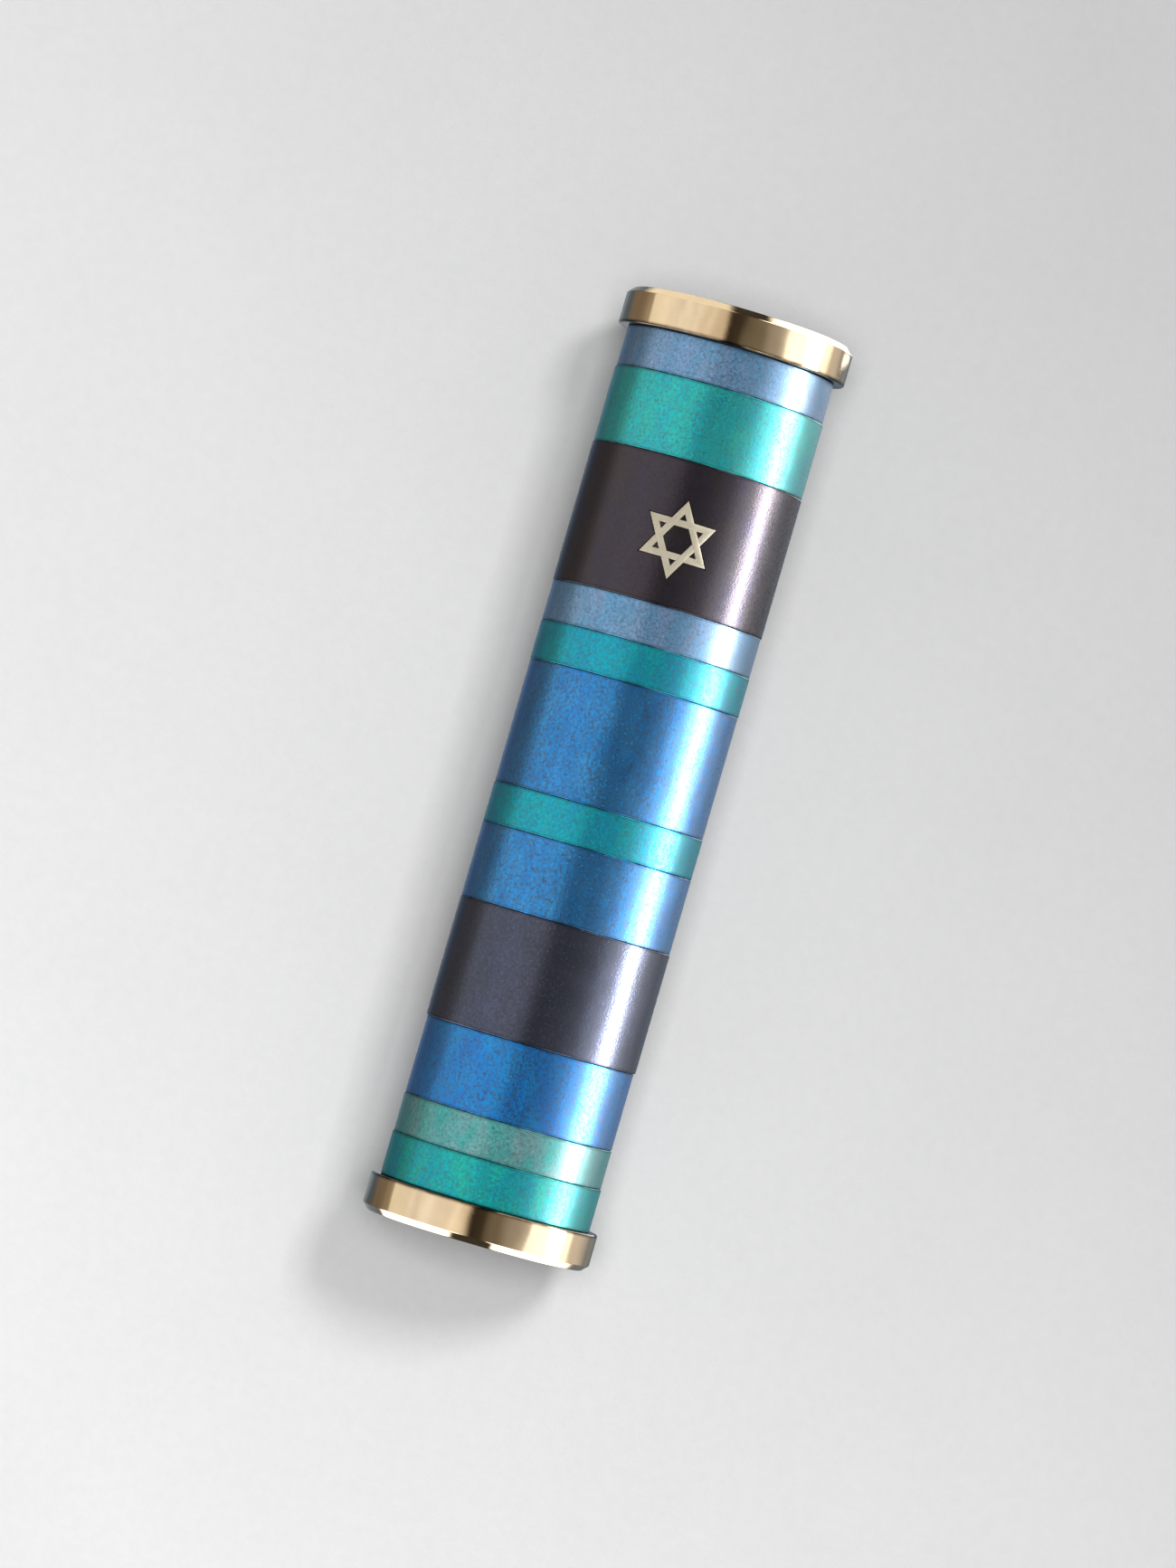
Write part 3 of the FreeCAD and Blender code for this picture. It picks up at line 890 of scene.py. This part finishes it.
def triangle_band(pointing, across):
    """Wraps a triangle's band round the ring.

    across lists (offset, radius, rides) anticlockwise. What rides follows the weave.
    """
    vertices, faces = [], []
    stations = triangle_stations()
    for place, outward, share in stations:
        lift = weave_height(share)
        for offset, radius, rides in across:
            x, z = (place + outward * offset) * pointing
            angle = x / (EMBLEM_WALL + STAR_PROUD)
            reach = radius + (lift if rides else 0.0)
            vertices.append((reach * math.sin(angle), -reach * math.cos(angle), STAR_HEIGHT + z))
    wide, long = len(across), len(stations)
    for j in range(long):
        for i in range(wide):
            a, b = j * wide + i, j * wide + (i + 1) % wide
            c, d = ((j + 1) % long) * wide + (i + 1) % wide, ((j + 1) % long) * wide + i
            faces.append((a, b, c, d))
    return vertices, faces


def let_in_star(mesh):
    """Sinks the star's pocket into its ring and gives the cut surface its exact normals again."""
    collection = bpy.context.scene.collection
    blank = bpy.data.objects.new("ring_blank", mesh)
    collection.objects.link(blank)
    half = STAR_STROKE / 2 + STAR_GAP
    overrun = 1.0
    floor, top = EMBLEM_WALL - STAR_SET_IN, EMBLEM_WALL + overrun
    across = [(-half, floor, False), (half, floor, False), (half, top, False), (-half, top, False)]
    cutters = []
    for pointing in (1, -1):
        cutter_mesh = new_mesh("star_cutter", *triangle_band(pointing, across))
        face_outwards(cutter_mesh)
        cutter = bpy.data.objects.new("star_cutter", cutter_mesh)
        collection.objects.link(cutter)
        cut = blank.modifiers.new("pocket", "BOOLEAN")
        cut.operation = "DIFFERENCE"
        cut.solver = "EXACT"
        cut.object = cutter
        cutters.append(cutter)
    bpy.context.view_layer.update()
    evaluated = blank.evaluated_get(bpy.context.evaluated_depsgraph_get())
    pocketed = bpy.data.meshes.new_from_object(evaluated)
    pocketed.name = mesh.name
    for spare in [blank] + cutters:
        bpy.data.objects.remove(spare)
    if "rim" in pocketed.attributes:
        pocketed.attributes.remove(pocketed.attributes["rim"])
    give_turned_normals(pocketed, EMBLEM_WALL)
    return pocketed


def give_turned_normals(mesh, radius):
    """Radial normals on the ring's outer wall, flat ones everywhere else."""
    tolerance, steepest = 0.01, 0.1
    smooth(mesh)
    normals = [None] * len(mesh.loops)
    for polygon in mesh.polygons:
        places = [mesh.vertices[vertex].co for vertex in polygon.vertices]
        on_wall = all(abs(math.hypot(place.x, place.y) - radius) <= tolerance for place in places)
        for loop in polygon.loop_indices:
            place = mesh.vertices[mesh.loops[loop].vertex_index].co
            if on_wall and abs(polygon.normal.z) < steepest:
                normals[loop] = Vector((place.x, place.y, 0)).normalized()
            else:
                normals[loop] = polygon.normal.copy()
    mesh.normals_split_custom_set(normals)


def build_emblem():
    half, bevel, crown = STAR_STROKE / 2, 0.09, 0.03
    corner = bevel * 0.3
    floor, top = EMBLEM_WALL - STAR_SET_IN, EMBLEM_WALL + STAR_PROUD
    across = [
        (-half, floor, False), (half, floor, False), (half, top - bevel, True),
        (half - corner, top - corner, True), (half - bevel, top, True),
        (0.0, top + crown, True), (-half + bevel, top, True),
        (-half + corner, top - corner, True), (-half, top - bevel, True),
    ]
    vertices, faces = [], []
    for pointing in (1, -1):
        more, more_faces = triangle_band(pointing, across)
        faces += [[v + len(vertices) for v in face] for face in more_faces]
        vertices += more
    mesh = creased_mesh("emblem_star_woven", vertices, faces, 28)
    add_piece("emblem_star_woven", mesh, SILVER, "case", "emblem_silver", "emblem_star")


def build_scroll():
    """One sheet rolled up, its edge waving a little, with its real thickness."""
    thickness, pitch, inner, length = 0.25, 0.6, 5.0, 100.0
    linear, quadratic = inner + thickness / 2, pitch / (4 * math.pi)
    turn = (math.sqrt(linear**2 + 4 * quadratic * length) - linear) / (2 * quadratic)
    along, tall = 420, 40
    ripple_depth, wave_depth = 0.05, 0.07
    vertices, faces = [], []

    def place(side, i, k):
        angle = turn * i / along
        share = k / tall
        height = SHEET_LOW.z + (SHEET_HIGH.z - SHEET_LOW.z) * share
        ripple = ripple_depth * math.sin(3.1 * angle + 5 * share) * (2 * share - 1) ** 2
        radius = inner + pitch * angle / (2 * math.pi) + thickness * side + ripple
        edge_wave = wave_depth * math.sin(1.7 * angle) * (1 if k == tall else 0)
        return (radius * math.cos(angle), radius * math.sin(angle), height - abs(edge_wave))

    for side in (0, 1):
        for i in range(along + 1):
            vertices += [place(side, i, k) for k in range(tall + 1)]
    layer = (along + 1) * (tall + 1)

    def index(side, i, k):
        return side * layer + i * (tall + 1) + k

    for i in range(along):
        for k in range(tall):
            faces.append([index(1, i, k), index(1, i + 1, k), index(1, i + 1, k + 1),
                          index(1, i, k + 1)])
            faces.append([index(0, i, k), index(0, i, k + 1), index(0, i + 1, k + 1),
                          index(0, i + 1, k)])
        for k in (0, tall):
            faces.append([index(0, i, k), index(0, i + 1, k), index(1, i + 1, k), index(1, i, k)])
    for i in (0, along):
        for k in range(tall):
            faces.append([index(0, i, k), index(1, i, k), index(1, i, k + 1), index(0, i, k + 1)])
    mesh = creased_mesh("parchment_roll", vertices, faces, 40)
    add_piece("parchment_roll", mesh, PARCHMENT, "scroll", "parchment", "parchment_scroll")


def rounded_slab(name, x_low, x_high, y_low, y_high, z_low, z_high, corner, square_ends=()):
    """A slab with rounded corners seen from behind, given about the case's axis."""
    outline = []
    for x, z, start in ((x_high, z_low, -90), (x_high, z_high, 0), (x_low, z_high, 90),
                        (x_low, z_low, 180)):
        side_x = -1 if x == x_high else 1
        side_z = -1 if z == z_high else 1
        if z in square_ends:
            outline.append((x, z))
            continue
        for step in range(SLAB_STEPS + 1):
            angle = math.radians(start + 90 * step / SLAB_STEPS)
            outline.append((x + side_x * corner + corner * math.cos(angle),
                            z + side_z * corner + corner * math.sin(angle)))
    count = len(outline)
    vertices = [(x, y, z) for y in (y_low, y_high) for x, z in outline]
    faces = [list(range(count)), list(range(2 * count - 1, count - 1, -1))]
    faces += [[i, count + i, count + (i + 1) % count, (i + 1) % count] for i in range(count)]
    return creased_mesh(name, vertices, faces, 30)


def build_strip():
    """Foam tape with its waxed liner, which is slit across the middle for peeling."""
    liner = 0.12
    slit = 0.25
    corner = 1.5
    back = STRIP_HIGH.y - AXIS_Y
    front = STRIP_LOW.y - AXIS_Y
    foam = rounded_slab("strip_foam", STRIP_LOW.x, STRIP_HIGH.x, front, back - liner,
                        STRIP_LOW.z, STRIP_HIGH.z, corner)
    add_piece("strip_foam", foam, FOAM, "case", "foam_tape", "adhesive_strip")
    for name, low, high in (("strip_liner_upper", slit / 2, STRIP_HIGH.z),
                            ("strip_liner_lower", STRIP_LOW.z, -slit / 2)):
        cut_end = low if low > 0 else high
        mesh = rounded_slab(name, STRIP_LOW.x, STRIP_HIGH.x, back - liner, back, low, high,
                            corner, square_ends=(cut_end,))
        add_piece(name, mesh, LINER, "case", "foam_tape")


def add_stage():
    """The sheet of paper that the case lies on."""
    reach = 2.5
    behind = 0.0003
    corners = [(-reach, behind, -reach), (reach, behind, -reach), (reach, behind, reach),
               (-reach, behind, reach)]
    mesh = new_mesh("paper_sheet", corners, [(0, 1, 2, 3)])
    mesh.materials.append(PAPER)
    sheet = bpy.data.objects.new("paper_sheet", mesh)
    sheet.visible_glossy = False
    sheet.visible_diffuse = False
    sheet.visible_shadow = False
    bpy.context.scene.collection.objects.link(sheet)


add_camera()
add_lights()
add_world()
build_rings()
build_caps()
build_tube()
build_o_rings()
build_emblem()
build_scroll()
build_strip()
add_stage()
bpy.context.scene.view_settings.view_transform = "Standard"
bpy.context.scene.cycles.caustics_reflective = False
